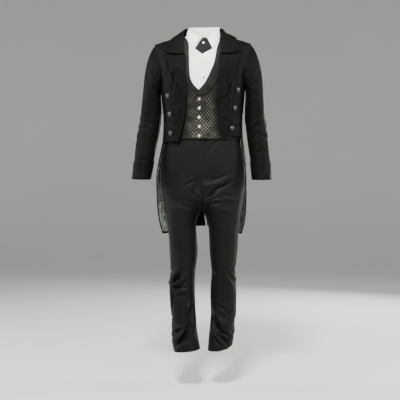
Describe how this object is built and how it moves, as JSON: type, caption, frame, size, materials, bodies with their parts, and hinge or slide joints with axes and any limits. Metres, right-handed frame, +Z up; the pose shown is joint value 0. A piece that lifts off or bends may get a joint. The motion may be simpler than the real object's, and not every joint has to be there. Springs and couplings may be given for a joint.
{
  "type": "evening suit with tailcoat, waistcoat, shirt front, tie and trousers",
  "caption": "Black evening suit worn hollow: tailcoat cut short at the front, brocade waistcoat, pleated shirt front with collar and tie, and long trousers with side braid.",
  "frame": {"origin": "middle of the line across the wearer's shoulders, where the neck opening of the coat begins, inside the hollow", "axes": "+X to the wearer's left, which is the viewer's right; -Y to the front; +Z up"},
  "size_m": [0.6185, 0.3106, 1.458],
  "materials": {
    "coat_wool": "matt black wool",
    "trouser_wool": "matt black wool",
    "satin_lining": "grey-green satin",
    "brocade": "woven olive and silver on black",
    "waistcoat_back": "black satin",
    "shirt_cotton": "white pleated cotton",
    "tie_silk": "black ribbed silk",
    "braid": "black satin braid",
    "horn": "polished dark horn",
    "silver": "polished silver",
    "pearl": "pearl",
    "stud": "dark metal"
  },
  "bodies": {
    "root": {"braid_l": "braid", "braid_r": "braid", "coat_back_l": "coat_wool", "coat_back_r": "coat_wool", "coat_button_l1": "horn", "coat_button_l2": "horn", "coat_button_l3": "horn", "coat_button_r1": "horn", "coat_button_r2": "horn", "coat_button_r3": "horn", "coat_collar": "coat_wool", "coat_collar_stand": "coat_wool", "coat_front_l": "coat_wool", "coat_front_r": "coat_wool", "coat_side_l": "coat_wool", "coat_side_r": "coat_wool", "collar_leaf_l": "shirt_cotton", "collar_leaf_r": "shirt_cotton", "collar_stand": "shirt_cotton", "cuff_l": "coat_wool", "cuff_r": "coat_wool", "lapel_l": "coat_wool", "lapel_r": "coat_wool", "pocket_edge_l": "trouser_wool", "pocket_edge_r": "trouser_wool", "shirt_front_l": "shirt_cotton", "shirt_front_r": "shirt_cotton", "shirt_placket": "shirt_cotton", "shirt_stud": "stud", "shirt_yoke": "shirt_cotton", "sleeve_top_l": "coat_wool", "sleeve_top_r": "coat_wool", "sleeve_under_l": "coat_wool", "sleeve_under_r": "coat_wool", "tail_lining_l": "satin_lining", "tail_lining_r": "satin_lining", "tail_skirt_l": "coat_wool", "tail_skirt_r": "coat_wool", "tie": "tie_silk", "tie_pin": "pearl", "trouser_back_l": "trouser_wool", "trouser_back_r": "trouser_wool", "trouser_front_l": "trouser_wool", "trouser_front_r": "trouser_wool", "trouser_waistband": "trouser_wool", "waist_button_l": "horn", "waist_button_r": "horn", "waistcoat_back_l": "waistcoat_back", "waistcoat_back_r": "waistcoat_back", "waistcoat_button_1": "silver", "waistcoat_button_2": "silver", "waistcoat_button_3": "silver", "waistcoat_button_4": "silver", "waistcoat_button_5": "silver", "waistcoat_collar_l": "brocade", "waistcoat_collar_r": "brocade", "waistcoat_front_l": "brocade", "waistcoat_front_r": "brocade"}
  },
  "joints": []
}
